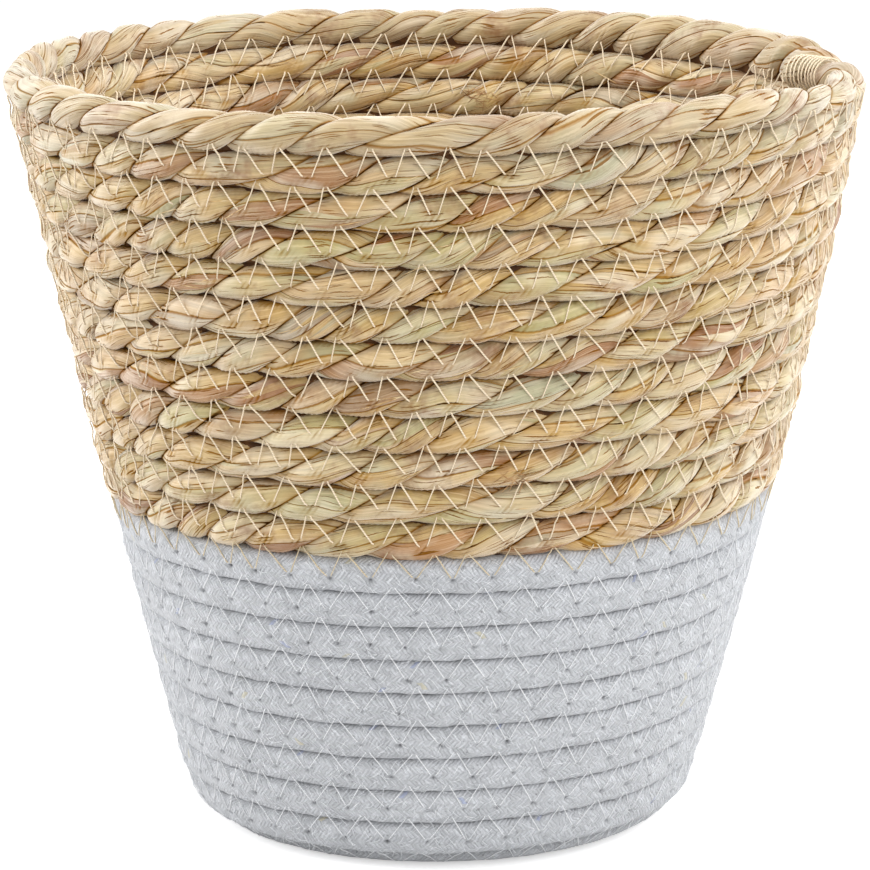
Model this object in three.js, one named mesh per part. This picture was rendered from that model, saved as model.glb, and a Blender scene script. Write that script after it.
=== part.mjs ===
// Round cover for a plant pot or vase, coiled from rope and sewn together with zigzag seams.
// One winding runs from the middle of the base out to the bottom edge and up the wall to the rim:
// grey braided cotton rope below, twisted seagrass rope above. The end of the seagrass rope is
// whipped with thread and rolls over the course below it to lie inside the rim.
// Millimetres and degrees. +Z is up, +X is the object's right and the origin is under its middle.

import * as THREE from "three";

// Shape of the wall, taken along the middle of the rope.
const flatBaseRadius = 63.5; // the base is flat out to here
const cornerRadius = 10.5; // rounding of the bottom edge, outside
const rimRadius = 120.2; // at the end of the winding
const rimHeight = 221.8; // at the end of the winding
const wallBow = 2.6; // the wall swells by this much half-way up
const bowShift = 0.65; // share by which it swells more on +X and less on -X
const backLift = 4; // the rim rises this much towards +Y

// Ropes: width is measured along the wall, thickness through it.
const cottonWidth = 10.03;
const cottonThickness = 9.5;
const seagrassWidth = 10.3;
const seagrassThickness = 10.6;
const shoulder = 0.4; // flat share of a rope's outer face, across its width
const seamGap = 0.5; // between neighbouring courses
const clearance = 0.3; // between separate pieces that touch

// The winding, counted back from its end at the rim.
const rimEndAngle = 13; // from +X towards +Y
const seagrassTurns = 11.7;
const eyeRadius = 1.5; // small opening in the middle of the base
const stepsPerTurn = 24;

// The tucked end of the seagrass rope and its whipping.
const tuckAngle = 42;
const tuckRoll = 88;
const whippingLength = 13;
const whippingThickness = 0.8;
const bareEnd = 1.5;

// Sewing thread, drawn along the middle of each seam.
const cottonThreadDiameter = 0.8;
const seagrassThreadDiameter = 1;

const turn = 2 * Math.PI;
const step = turn / stepsPerTurn;
const cottonPitch = cottonWidth + seamGap;
const seagrassPitch = seagrassWidth + seamGap;
const tuckStart = -THREE.MathUtils.degToRad(tuckAngle);

// The meridian is the line from the middle of the base to the rim that the courses are laid along.
// It runs on past the rim by one course, so that the last course has an upper edge.
const baseLevel = cottonThickness / 2;
const bend = cornerRadius - baseLevel;
const bendCentre = new THREE.Vector2(flatBaseRadius, cornerRadius);
const rimPoint = new THREE.Vector2(rimRadius, rimHeight);
const toRim = rimPoint.clone().sub(bendCentre);
const bendEnd = toRim.angle() - Math.acos(bend / toRim.length());
const wallFoot = bendCentre.clone().add(
  new THREE.Vector2(Math.cos(bendEnd), Math.sin(bendEnd)).multiplyScalar(bend),
);
const wallLength = wallFoot.distanceTo(rimPoint);
const pastRim = wallFoot.clone().lerp(rimPoint, 1 + seagrassPitch / wallLength);

const meridian = new THREE.Path();
meridian.moveTo(0, baseLevel);
meridian.lineTo(flatBaseRadius, baseLevel);
meridian.absarc(bendCentre.x, bendCentre.y, bend, -Math.PI / 2, bendEnd, false);
meridian.lineTo(pastRim.x, pastRim.y);
const meridianLength = meridian.getLength();
const rimRun = meridianLength - seagrassPitch;
const footRun = rimRun - wallLength;

// Winding angles are 0 at the rope's end and negative before it.
const jointAngle = -seagrassTurns * turn;
const jointRun = rimRun - seagrassTurns * seagrassPitch;
const startAngle = jointAngle - ((jointRun - eyeRadius - cottonPitch / 2) / cottonPitch) * turn;
const splitAngle = jointAngle - ((jointRun - flatBaseRadius) / cottonPitch) * turn;

function pitchAt(angle) {
  return angle < jointAngle ? cottonPitch : seagrassPitch;
}

function runAt(angle) {
  if (angle < jointAngle) return jointRun + ((angle - jointAngle) / turn) * cottonPitch;
  return rimRun + (angle / turn) * seagrassPitch;
}

function heading(angle) {
  return THREE.MathUtils.degToRad(rimEndAngle) + angle;
}

// A point on the basket's middle surface.
function surfacePoint(run, angle) {
  const theta = heading(angle);
  const along = meridian.getPoint(run / meridianLength);
  const rise = Math.max(0, (run - footRun) / wallLength);
  const swell = wallBow * (1 + bowShift * Math.cos(theta)) * 4 * rise * (1 - rise);
  const lift = (backLift / 2) * (1 + Math.sin(theta)) * rise * rise;
  const radius = along.x + swell;
  return new THREE.Vector3(radius * Math.cos(theta), radius * Math.sin(theta), along.y + lift);
}

// Where a course sits: its middle, its directions up and out of the wall, and its half sizes.
// Each course fills the room between the seams below and above it.
function plainCourse(angle) {
  const pitch = pitchAt(angle);
  const lower = surfacePoint(runAt(angle) - pitch / 2, angle);
  const upper = surfacePoint(runAt(angle) + pitch / 2, angle);
  const up = upper.clone().sub(lower);
  const halfWidth = (up.length() - seamGap) / 2;
  const halfThickness = (angle < jointAngle ? cottonThickness : seagrassThickness) / 2;
  up.normalize();
  const ahead = new THREE.Vector3(-Math.sin(heading(angle)), Math.cos(heading(angle)), 0);
  const out = ahead.cross(up);
  return { angle, middle: lower.add(upper).multiplyScalar(0.5), up, out, halfWidth, halfThickness };
}

// The end of the rope rolls inwards round the course below it, clear of that course's straight steps.
function course(angle) {
  const plain = plainCourse(angle);
  if (angle <= tuckStart) return plain;
  const ease = THREE.MathUtils.smoothstep(angle, tuckStart, 0);
  const roll = THREE.MathUtils.degToRad(tuckRoll) * ease;
  const facet = rimRadius * (1 - Math.cos(step / 2));
  const room = whippingThickness + 4 * clearance + facet;
  const below = plainCourse(angle - turn);
  const up = below.up.clone().multiplyScalar(Math.cos(roll)).addScaledVector(below.out, -Math.sin(roll));
  const out = below.out.clone().multiplyScalar(Math.cos(roll)).addScaledVector(below.up, Math.sin(roll));
  const reach = plain.middle.distanceTo(below.middle) + room * ease;
  const middle = below.middle.clone().addScaledVector(up, reach);
  return { ...plain, middle, up, out };
}

// Six-sided section of a rope, with corners towards its neighbours and flats inside and outside.
function ropeSection(place, scale = 1) {
  const w = place.halfWidth * scale;
  const t = place.halfThickness * scale;
  const corners = [
    [w, 0],
    [shoulder * w, t],
    [-shoulder * w, t],
    [-w, 0],
    [-shoulder * w, -t],
    [shoulder * w, -t],
  ];
  return corners.map(([across, through]) => {
    const point = place.middle.clone().addScaledVector(place.up, across);
    return point.addScaledVector(place.out, through);
  });
}

// Distance from a rope's middle to its sloping faces, the nearest ones.
function faceDistance(place) {
  const slope = (1 - shoulder) * place.halfWidth;
  return (place.halfWidth * place.halfThickness) / Math.hypot(slope, place.halfThickness);
}

// Winding angles from one end of a piece to the other, on steps that all turns share.
// The steps are finer along the tucked end.
function windingAngles(from, to) {
  const fine = step / 4;
  const angles = [from];
  for (let i = Math.ceil(from / fine); i * fine < to; i += 1) {
    const stride = i * fine > tuckStart ? fine : step;
    const onStep = i % 4 === 0 || stride === fine;
    const clearOfEnds = i * fine - from > 0.2 * stride && to - i * fine > 0.2 * stride;
    if (onStep && clearOfEnds) angles.push(i * fine);
  }
  angles.push(to);
  return angles;
}

// Closed tube through a row of sections with the same number of points.
function tubeGeometry(sections) {
  const sides = sections[0].length;
  const points = sections.flat();
  const faces = [];
  for (let i = 0; i < sections.length - 1; i += 1) {
    for (let k = 0; k < sides; k += 1) {
      const a = i * sides + k;
      const b = i * sides + ((k + 1) % sides);
      faces.push(a, b, b + sides, a, b + sides, a + sides);
    }
  }
  const end = (sections.length - 1) * sides;
  for (let k = 1; k < sides - 1; k += 1) {
    faces.push(0, k + 1, k);
    faces.push(end, end + k, end + k + 1);
  }
  const geometry = new THREE.BufferGeometry().setFromPoints(points);
  geometry.setIndex(faces);
  geometry.computeVertexNormals();
  return geometry;
}

// Open sleeve: an outer and an inner skin joined by a ring at each end.
function sleeveGeometry(outer, inner) {
  const sides = outer[0].length;
  const points = [...outer.flat(), ...inner.flat()];
  const skin = outer.length * sides;
  const faces = [];
  for (let k = 0; k < sides; k += 1) {
    const next = (k + 1) % sides;
    for (let i = 0; i < outer.length - 1; i += 1) {
      const a = i * sides + k;
      const b = i * sides + next;
      faces.push(a, b, b + sides, a, b + sides, a + sides);
      faces.push(skin + a, skin + b + sides, skin + b, skin + a, skin + a + sides, skin + b + sides);
    }
    const end = skin - sides;
    faces.push(k, skin + next, next, k, skin + k, skin + next);
    faces.push(end + k, end + next, skin + end + next, end + k, skin + end + next, skin + end + k);
  }
  const geometry = new THREE.BufferGeometry().setFromPoints(points);
  geometry.setIndex(faces);
  geometry.computeVertexNormals();
  return geometry;
}

// Least distance between points of a coil that lie about one turn apart.
function leastGap(places, sections) {
  let least = Infinity;
  for (let i = 0; i < places.length; i += 1) {
    for (let j = i + 1; j < places.length; j += 1) {
      const apart = places[j].angle - places[i].angle;
      if (apart < turn / 2 || apart > 1.5 * turn) continue;
      for (const p of sections[i]) {
        for (const q of sections[j]) least = Math.min(least, p.distanceTo(q));
      }
    }
  }
  return least;
}

const basket = new THREE.Group();
basket.name = "vase_cover";

function addPiece(name, geometry, color, roughness) {
  const material = new THREE.MeshStandardMaterial({ color, roughness, metalness: 0 });
  const mesh = new THREE.Mesh(geometry, material);
  mesh.name = name;
  basket.add(mesh);
}

function addCoil(name, from, to, color, roughness) {
  const places = windingAngles(from, to).map(course);
  const sections = places.map((place) => ropeSection(place));
  console.log(`${name}: least gap to itself ${leastGap(places, sections).toFixed(2)} mm`);
  addPiece(name, tubeGeometry(sections), color, roughness);
}

// Half the angle that a clearance takes up at a place on the winding.
function halfCut(angle) {
  const middle = surfacePoint(runAt(angle), angle);
  return clearance / 2 / Math.hypot(middle.x, middle.y);
}

const cottonGrey = "#c3c4c8";
const seagrassStraw = "#bfa678";

const splitCut = halfCut(splitAngle);
const jointCut = halfCut(jointAngle);
addCoil("cotton_base_coil", startAngle, splitAngle - splitCut, cottonGrey, 0.95);
addCoil("cotton_wall_coil", splitAngle + splitCut, jointAngle - jointCut, cottonGrey, 0.95);
addCoil("seagrass_coil", jointAngle + jointCut, 0, seagrassStraw, 0.75);

// Thread wound round the tucked end of the seagrass rope.
const endPlace = course(0);
const endRadius = Math.hypot(endPlace.middle.x, endPlace.middle.y);
const whippingEnd = -bareEnd / endRadius;
const whippingStart = whippingEnd - whippingLength / endRadius;
const whippingPlaces = windingAngles(whippingStart, whippingEnd).map(course);
const innerScale = 1 + clearance / faceDistance(endPlace);
const outerScale = 1 + (clearance + whippingThickness) / faceDistance(endPlace);
addPiece(
  "rope_end_whipping",
  sleeveGeometry(
    whippingPlaces.map((place) => ropeSection(place, outerScale)),
    whippingPlaces.map((place) => ropeSection(place, innerScale)),
  ),
  "#ddd2b8",
  0.8,
);

// A seam's thread lies in the groove between a course and the next one, outside (side 1) or inside
// (side -1), as deep as its clearance from the two ropes lets it.
function threadSection(angle, side, diameter) {
  const lower = course(angle);
  const upper = course(angle + turn);
  const into = lower.out.clone().add(upper.out).normalize().multiplyScalar(side);
  const below = lower.middle.clone().addScaledVector(lower.up, lower.halfWidth);
  const above = upper.middle.clone().addScaledVector(upper.up, -upper.halfWidth);
  const need = diameter / 2 + clearance;
  let depth = 0;
  for (const [place, away] of [[lower, 1], [upper, -1]]) {
    const face = place.up.clone().multiplyScalar(-away * (1 - shoulder) * place.halfWidth);
    face.addScaledVector(place.out, side * place.halfThickness);
    const clear = need / Math.sin(face.angleTo(into));
    depth = Math.max(depth, Math.min(clear, face.length() + need));
  }
  const middle = below.add(above).multiplyScalar(0.5).addScaledVector(into, depth);
  const up = lower.up.clone().add(upper.up).normalize();
  const points = [];
  for (let k = 0; k < 3; k += 1) {
    const around = (k / 3) * turn;
    const point = middle.clone().addScaledVector(up, Math.cos(around) * (diameter / 2));
    points.push(point.addScaledVector(lower.out, Math.sin(around) * (diameter / 2)));
  }
  return points;
}

function addThread(name, from, to, side, diameter, color) {
  const sections = windingAngles(from, to).map((angle) => threadSection(angle, side, diameter));
  addPiece(name, tubeGeometry(sections), color, 0.6);
}

const threadCut = clearance / rimRadius;
const cottonSeamEnd = jointAngle - turn - threadCut;
const seagrassSeamStart = jointAngle - turn + threadCut;
const seagrassSeamEnd = tuckStart - turn;
const threadStart = startAngle + step;

addThread("cotton_needle_thread", threadStart, cottonSeamEnd, 1, cottonThreadDiameter, "#d9dadc");
addThread("cotton_bobbin_thread", threadStart, cottonSeamEnd, -1, cottonThreadDiameter, "#d9dadc");
addThread("seagrass_needle_thread", seagrassSeamStart, seagrassSeamEnd, 1, seagrassThreadDiameter, "#e6dcc3");
addThread("seagrass_bobbin_thread", seagrassSeamStart, seagrassSeamEnd, -1, seagrassThreadDiameter, "#e6dcc3");

export default basket;
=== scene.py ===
import math
from functools import partial

import bmesh
import bpy
import numpy as np
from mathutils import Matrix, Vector
from mathutils.bvhtree import BVHTree


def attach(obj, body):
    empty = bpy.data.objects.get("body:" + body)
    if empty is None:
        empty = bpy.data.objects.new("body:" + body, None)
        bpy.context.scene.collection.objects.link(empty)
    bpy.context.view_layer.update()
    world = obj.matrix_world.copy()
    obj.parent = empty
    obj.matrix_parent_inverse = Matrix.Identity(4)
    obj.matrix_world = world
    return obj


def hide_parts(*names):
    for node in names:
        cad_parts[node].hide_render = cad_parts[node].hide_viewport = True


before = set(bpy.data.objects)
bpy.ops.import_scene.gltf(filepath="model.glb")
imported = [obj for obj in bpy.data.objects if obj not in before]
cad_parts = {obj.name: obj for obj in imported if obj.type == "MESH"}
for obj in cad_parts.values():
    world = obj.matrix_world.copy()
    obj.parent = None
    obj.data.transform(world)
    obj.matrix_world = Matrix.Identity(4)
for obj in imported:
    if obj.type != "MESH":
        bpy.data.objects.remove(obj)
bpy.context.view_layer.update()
mm = 0.001  # sizes below are in millimetres
turn = 2 * math.pi
fineSteps = 4000  # samples on which lengths are measured

# the winding, the same one as in the solids
basket = {
    "flatBase": 66.5,
    "corner": 8.2,
    "rimRadius": 120.2,
    "rimHeight": 221.8,
    "bow": 2.0,  # how far the wall swells half way up
    "bowShift": 0.65,  # more of it on the right
    "backLift": 3.2,  # the rim is higher at the back
    "lean": 0.9,  # the base sits this far to the right of the rim
    "cottonPitch": 10.53,
    "cottonThick": 9.5,
    "seagrassPitch": 10.8,
    "seagrassThick": 10.6,
    "seagrassTurns": 11.7,
    "rimEnd": math.radians(13),
    "eye": 1.5,  # room left in the middle of the base
    "bendFrom": math.radians(38),  # the rope starts to bend in this far before the rim's end
    "ropeEnd": math.radians(-7.5),  # where it is cut off
    "bendIn": 15.5,  # how far its end lies inside the rim
    "sink": 2.2,  # and how far it drops
}

bend = basket["corner"] - basket["cottonThick"] / 2
toRimR = basket["rimRadius"] - basket["flatBase"]
toRimZ = basket["rimHeight"] - basket["corner"]
bendSweep = math.atan2(toRimZ, toRimR) - math.acos(bend / math.hypot(toRimR, toRimZ)) + math.pi / 2
footR = basket["flatBase"] + bend * math.sin(bendSweep)
footZ = basket["corner"] - bend * math.cos(bendSweep)
footRun = basket["flatBase"] + bend * bendSweep
wallLength = math.hypot(basket["rimRadius"] - footR, basket["rimHeight"] - footZ)
rimRun = footRun + wallLength
jointAngle = -basket["seagrassTurns"] * turn
jointRun = rimRun - basket["seagrassTurns"] * basket["seagrassPitch"]
startRun = basket["eye"] + basket["cottonPitch"] / 2
startAngle = jointAngle - (jointRun - startRun) / basket["cottonPitch"] * turn
splitAngle = jointAngle - (jointRun - basket["flatBase"]) / basket["cottonPitch"] * turn


def wander(x, seed, size):
    # gentle drift between about -1 and 1 with swells about as long as size
    rng = np.random.default_rng(seed)
    total = np.zeros_like(np.asarray(x, float))
    for _ in range(5):
        period = size * (0.6 + 1.8 * rng.random())
        total += np.sin(turn * (x / period + rng.random()))
    return total / 2.4


def ease(x, low, high):
    t = np.clip((x - low) / (high - low), 0, 1)
    return t * t * (3 - 2 * t)


def unit(v):
    return v / np.linalg.norm(v, axis=-1, keepdims=True)


def surfacePoint(run, angle):
    # run is the way from the middle of the base, over the bottom edge and up the wall
    theta = basket["rimEnd"] + angle
    inBend = np.clip((run - basket["flatBase"]) / bend, 0, bendSweep)
    up = np.maximum(run - footRun, 0) / wallLength
    flat = run < basket["flatBase"]
    radius = np.where(flat, run, basket["flatBase"] + bend * np.sin(inBend))
    height = np.where(flat, basket["cottonThick"] / 2, basket["corner"] - bend * np.cos(inBend))
    radius = radius + up * (basket["rimRadius"] - footR)
    height = height + up * (basket["rimHeight"] - footZ)
    radius = radius + basket["bow"] * (1 + basket["bowShift"] * np.cos(theta)) * 4 * up * (1 - up)
    height = height + basket["backLift"] / 2 * (1 + np.sin(theta)) * up * up
    lean = basket["lean"] * (1 - up)
    return np.stack([radius * np.cos(theta) + lean, radius * np.sin(theta), height], -1)


def runAt(angle):
    cotton = jointRun + (angle - jointAngle) / turn * basket["cottonPitch"]
    seagrass = rimRun + angle / turn * basket["seagrassPitch"]
    return np.where(angle < jointAngle, cotton, seagrass)


def levelDirections(angle):
    # away from the axis, and along the winding
    theta = basket["rimEnd"] + angle
    c, s, level = np.cos(theta), np.sin(theta), 0 * theta
    return np.stack([c, s, level], -1), np.stack([-s, c, level], -1)


def framesAt(run, angle, span):
    # middle, up the wall, out of the wall, and the room between the seams
    low = surfacePoint(run - span / 2, angle)
    high = surfacePoint(run + span / 2, angle)
    up = unit(high - low)
    out = np.cross(levelDirections(angle)[1], up)
    return (low + high) / 2, up, out, np.linalg.norm(high - low, axis=-1)


def ringPoints(middle, out, up, outPart, upPart):
    return middle[:, None] + out[:, None] * outPart[..., None] + up[:, None] * upPart[..., None]


def lengthAlong(path):
    steps = np.linalg.norm(np.diff(path, axis=0), axis=1)
    return np.concatenate([[0], np.cumsum(steps)])


def evenAngles(first, last, spacing):
    # winding angles that are evenly spaced along the rope, and the length run so far
    fine = np.linspace(first, last, fineSteps)
    length = lengthAlong(surfacePoint(runAt(fine), fine))
    count = max(4, int(round(length[-1] / spacing)))
    wanted = np.linspace(0, length[-1], count + 1)
    return np.interp(wanted, length, fine), wanted


# machine zigzag along each seam
stitch = {
    "pitch": 10.4,  # along a seam, one zigzag
    "top": 3.3,  # above the seam
    "bottom": 5.4,  # below it
    "slip": 0.2,  # uneven feed, in zigzags
    "leanSlip": 0.05,
    "heightSlip": 0.4,
    "span": 2.0,  # of wall that gives the seam its direction
    "seed": 11,
}


def seamFrames(angles):
    # the seam above the course at these angles
    pitch = np.where(angles < jointAngle, basket["cottonPitch"], basket["seagrassPitch"])
    return framesAt(runAt(angles) + pitch / 2, angles, stitch["span"])


def seamStitches(first, last, seed, lean):
    # upper and lower needle holes of a seam, lean is the share of a zigzag that goes down
    fine = np.linspace(first, last, fineSteps)
    length = lengthAlong(seamFrames(fine)[0])
    rng = np.random.default_rng(seed)
    count = max(3, int(length[-1] / stitch["pitch"]))
    steps = 1 + stitch["slip"] * rng.uniform(-1, 1, count)
    tops = np.cumsum(steps) - steps[0]
    tops = tops / (tops[-1] + 1) * length[-1]
    gap = np.diff(np.append(tops, length[-1]))
    bottoms = tops + gap * (lean + stitch["leanSlip"] * rng.uniform(-1, 1, count))
    slip = stitch["heightSlip"]
    return {
        "length": length,
        "fine": fine,
        "tops": tops,
        "bottoms": bottoms,
        "rise": stitch["top"] + rng.uniform(-slip, slip, count),
        "drop": -stitch["bottom"] + rng.uniform(-slip, slip, count),
        "topAngles": np.interp(tops, length, fine),
        "bottomAngles": np.interp(bottoms, length, fine),
    }


rimStart = -turn  # the rim's course is the last turn
seamEnd = rimStart - 0.3
topSeam = seamStitches(jointAngle, seamEnd, stitch["seed"] + 2, 0.62)
joinSeam = seamStitches(jointAngle - turn, jointAngle, stitch["seed"] + 1, 0.6)
# the machine runs on past the end of the rope to lock the thread
lockSeam = seamStitches(-2 * turn - 0.1, -2 * turn + 0.36, stitch["seed"] + 3, 0.5)
cottonSeam = seamStitches(startAngle + 1.2, jointAngle - turn, stitch["seed"], 0.48)
print("stitches:", len(topSeam["tops"]), len(joinSeam["tops"]), len(cottonSeam["tops"]))


def linear(hexColour):
    values = [int(hexColour[i : i + 2], 16) / 255 for i in (1, 3, 5)]
    return [v / 12.92 if v <= 0.04045 else ((v + 0.055) / 1.055) ** 2.4 for v in values] + [1]


def addNode(tree, kind, *inputs, **named):
    # inputs stand in order, and a node among them gives its first output
    node = tree.nodes.new("ShaderNode" + kind)
    sockets = {socket.identifier: socket for socket in node.inputs}
    values = dict(zip(sockets, inputs))
    for name, value in named.items():
        if name in sockets:
            values[name] = value
        elif name == "stops":
            elements = node.color_ramp.elements
            while len(elements) < len(value):
                elements.new(0.5)
            for element, (place, colour) in zip(elements, value):
                element.position = place
                element.color = linear(colour)
        else:
            setattr(node, name, value)
    for name, value in values.items():
        if isinstance(value, bpy.types.Node):
            value = next(output for output in value.outputs if output.enabled)
        if isinstance(value, bpy.types.NodeSocket):
            tree.links.new(value, sockets[name])
        else:
            sockets[name].default_value = value
    return node


def newMaterial(name):
    material = bpy.data.materials.new(name)
    material.use_nodes = True
    material.node_tree.nodes.clear()
    return material, partial(addNode, material.node_tree)


def mottledMaterial(name, size, detail, rough, stops):
    # patches of a few colours, size is in mm
    material, add = newMaterial(name)
    place = add("TexCoord").outputs["Object"]
    mottle = add("TexNoise", Scale=1 / (size * mm), Detail=detail, Vector=place)
    colour = add("ValToRGB", mottle, stops=stops)
    shader = add("BsdfPrincipled", colour, Roughness=rough, IOR=1.45)
    add("OutputMaterial", shader)
    return material


# a flat sheet of quads is rolled into a rope: points is rings x around x 3
def rollRope(name, points, uvAlong, uvAround, material, bakeRows, shade=None):
    rings, around = points.shape[:2]
    bm = bmesh.new()
    bm.loops.layers.uv.new("lay")
    bmesh.ops.create_grid(bm, x_segments=rings - 1, y_segments=around, size=1, calc_uvs=True)
    mesh = bpy.data.meshes.new(name)
    bm.to_mesh(mesh)
    bm.free()
    closed = np.concatenate([points, points[:, :1]], 1).transpose(1, 0, 2)
    mesh.vertices.foreach_set("co", (closed * mm).reshape(-1))
    layer = mesh.uv_layers["lay"]
    flat = np.empty(len(mesh.loops) * 2, np.float32)
    layer.uv.foreach_get("vector", flat)
    grid = flat.reshape(-1, 2)
    ring = np.rint(grid[:, 0] * (rings - 1)).astype(int)
    side = np.rint(grid[:, 1] * around).astype(int)
    lay = np.stack([uvAround[ring, side], uvAlong[ring]], 1)
    # a second map for baking: the rope cut into rows that fill the square
    perRow = math.ceil((rings - 1) / bakeRows)
    row = (ring.reshape(-1, 4).min(1) // perRow).repeat(4)
    bakeX = (ring - row * perRow) / perRow * 0.98 + 0.01
    bakeY = (row + 0.03 + side / around * 0.94) / bakeRows
    bake = np.stack([bakeX, bakeY], 1)
    layer.uv.foreach_set("vector", lay.astype(np.float32).reshape(-1))
    mesh.uv_layers.new(name="OFBake").uv.foreach_set("vector", bake.astype(np.float32).reshape(-1))
    if shade is not None:
        closedShade = np.concatenate([shade, shade[:, :1]], 1).T
        stored = mesh.attributes.new("shade", "FLOAT", "POINT")
        stored.data.foreach_set("value", closedShade.astype(np.float32).reshape(-1))
    bm = bmesh.new()
    bm.from_mesh(mesh)
    bm.verts.ensure_lookup_table()
    seam = {bm.verts[around * rings + i]: bm.verts[i] for i in range(rings)}
    bmesh.ops.weld_verts(bm, targetmap=seam)
    for face in bm.faces:
        face.smooth = True
    rims = [edge for edge in bm.edges if edge.is_boundary]
    for edge in rims:
        edge.smooth = False
    bmesh.ops.holes_fill(bm, edges=rims, sides=0)
    bm.to_mesh(mesh)
    bm.free()
    mesh.materials.append(material)
    piece = bpy.data.objects.new(name, mesh)
    bpy.context.collection.objects.link(piece)
    return piece


def register(piece, node):
    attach(piece, "root")
    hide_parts(node)


# dried seagrass: split blades twisted hard, so a satin skin of straw, green and tan strips
leaf = {
    "strips": 5,  # blades round a strand
    "length": 110.0,  # of one blade, mm
    "lines": (11.0, 0.025, 0),  # fine lines across a blade, and along it per mm
    "splits": (14.0, 0.09, 0),  # short dark splits, a centimetre or so long
    "stretches": (0.8, 0.04, 37.0),  # stretches of one tint, the last number parts the blades
    "rim": (206, 214),  # heights between which the duller rope of the rim begins
    # the painted crease shade is faint in places of this size
    "fade": 13,  # size of the places where creases are faint
    "stain": 15,  # size of weathered patches
    "palette": [
        (0.0, "#b78f40"), (0.2, "#c29c4e"), (0.38, "#b89445"), (0.52, "#aea05e"), (0.64, "#c39c5e"),
        (0.76, "#cab987"), (0.86, "#a5702a"), (0.94, "#8c561c"), (1.0, "#a8a880"),
    ],
    "tints": [(0, "#a8aa86", 0.6), (1, "#a06c24", 0.6), (2, "#e4d8bf", 0.55)],  # green, tan, bleached
}


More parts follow.
